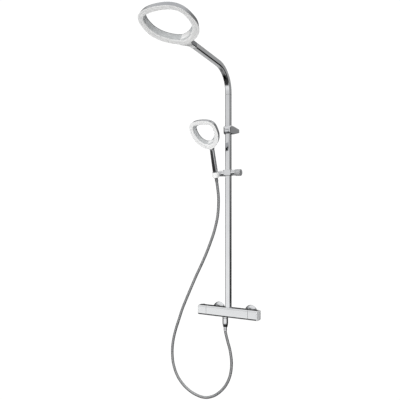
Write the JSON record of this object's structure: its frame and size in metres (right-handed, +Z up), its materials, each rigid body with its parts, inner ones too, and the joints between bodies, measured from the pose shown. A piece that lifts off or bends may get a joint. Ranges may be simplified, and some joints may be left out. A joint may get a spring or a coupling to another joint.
{
  "type": "shower column",
  "caption": "Wall-mounted thermostatic bar shower column with a square riser, swept arm, open-ring overhead head, sliding cradle, open-ring handset and metal hose.",
  "frame": {"origin": "on the finished wall, midway between the two inlet threads", "axes": "+X along the bar to the temperature knob side, +Y into the wall, +Z up"},
  "size_m": [0.4215, 0.5923, 1.4935],
  "materials": {
    "satin_chrome": "satin chrome plate",
    "polished_chrome": "polished chrome plate",
    "plated_plastic": "chrome plated plastic",
    "brass": "plain brass",
    "steel": "plain steel",
    "white_gloss": "white gloss",
    "grey_nozzle": "grey soft rubber",
    "black_rubber": "black rubber",
    "black_plastic": "black satin plastic",
    "white_plastic": "white plastic",
    "hose_metal": "ribbed satin metal"
  },
  "bodies": {
    "root": {"valve_sleeve": "satin_chrome", "valve_core": "brass", "thermostatic_cartridge": "brass", "diverter_cartridge": "brass", "temperature_stop_ring": "white_plastic", "flow_stop_ring": "white_plastic", "inlet_union_left": "brass", "inlet_union_right": "brass", "union_nut_left": "polished_chrome", "union_nut_right": "polished_chrome", "escutcheon_left": "polished_chrome", "escutcheon_right": "polished_chrome", "filter_washer_left": "black_rubber", "filter_washer_right": "black_rubber", "check_valve_left": "white_plastic", "check_valve_right": "white_plastic", "riser_adapter": "brass", "hose_outlet": "polished_chrome", "riser_tube": "polished_chrome", "arm_gasket": "black_rubber", "arm_spigot": "brass", "arm_grub_screw": "steel", "arm_tube": "polished_chrome", "arm_ball": "brass", "bracket_body": "polished_chrome", "bracket_base": "steel", "bracket_screws": "steel", "bracket_bush": "black_plastic", "bracket_grub_screw": "steel", "hose_outlet_nut": "polished_chrome", "hose_tube": "hose_metal"},
    "temperature_knob": {"temperature_knob": "satin_chrome", "temperature_spindle": "brass", "temperature_knob_screw": "steel", "temperature_end_cap": "polished_chrome", "temperature_button_spring": "steel"},
    "temperature_button": {"temperature_button": "black_plastic"},
    "flow_knob": {"flow_knob": "satin_chrome", "flow_spindle": "brass", "flow_knob_screw": "steel", "flow_end_cap": "polished_chrome", "flow_button_spring": "steel"},
    "flow_button": {"flow_button": "black_plastic"},
    "head": {"head_shell": "plated_plastic", "head_face": "white_gloss", "head_nozzle_ring": "grey_nozzle", "head_retainer": "black_plastic", "head_seal": "black_rubber"},
    "slider": {"slider_body": "polished_chrome", "slider_bush": "black_plastic", "slider_pad": "white_plastic", "cradle_pivot_bolt": "steel"},
    "slider_knob": {"slider_knob": "plated_plastic", "slider_spindle": "brass"},
    "cradle": {"cradle": "white_gloss"},
    "handset": {"handset_handle": "polished_chrome", "handset_shell": "plated_plastic", "handset_face": "white_gloss", "handset_nozzle_ring": "grey_nozzle", "hose_cone_nut": "polished_chrome"}
  },
  "joints": [
    {"name": "temperature_turn", "type": "hinge", "parent": "root", "child": "temperature_knob", "pos_m": [0.1, -0.058, 0], "axis": [1, 0, 0], "range_deg": [-150, 60]},
    {"name": "temperature_button_press", "type": "slide", "parent": "temperature_knob", "child": "temperature_button", "axis": [0, 0, -1], "range_m": [0, 0.002], "stiffness_N_per_m": 300, "deforming": ["temperature_button_spring"]},
    {"name": "flow_turn", "type": "hinge", "parent": "root", "child": "flow_knob", "pos_m": [-0.1, -0.058, 0], "axis": [1, 0, 0], "range_deg": [-90, 90]},
    {"name": "flow_button_press", "type": "slide", "parent": "flow_knob", "child": "flow_button", "axis": [0, 0, -1], "range_m": [0, 0.002], "stiffness_N_per_m": 300, "deforming": ["flow_button_spring"]},
    {"name": "head_tilt", "type": "hinge", "parent": "root", "child": "head", "pos_m": [0, -0.32727, 1.03157], "axis": [1, 0, 0], "range_deg": [-7, 7]},
    {"name": "slider_travel", "type": "slide", "parent": "root", "child": "slider", "axis": [0, 0, 1], "range_m": [-0.3, 0.13], "deforming": ["hose_tube"]},
    {"name": "slider_knob_turn", "type": "hinge", "parent": "slider", "child": "slider_knob", "pos_m": [0.04, -0.058, 0.569], "axis": [1, 0, 0], "range_deg": [-180, 180]},
    {"name": "cradle_tilt", "type": "hinge", "parent": "slider", "child": "cradle", "pos_m": [-0.03, -0.066, 0.566], "axis": [1, 0, 0], "range_deg": [-15, 25]},
    {"name": "handset_lift", "type": "slide", "parent": "cradle", "child": "handset", "axis": [0, -0.279, 0.9603], "range_m": [0, 0.06]}
  ]
}
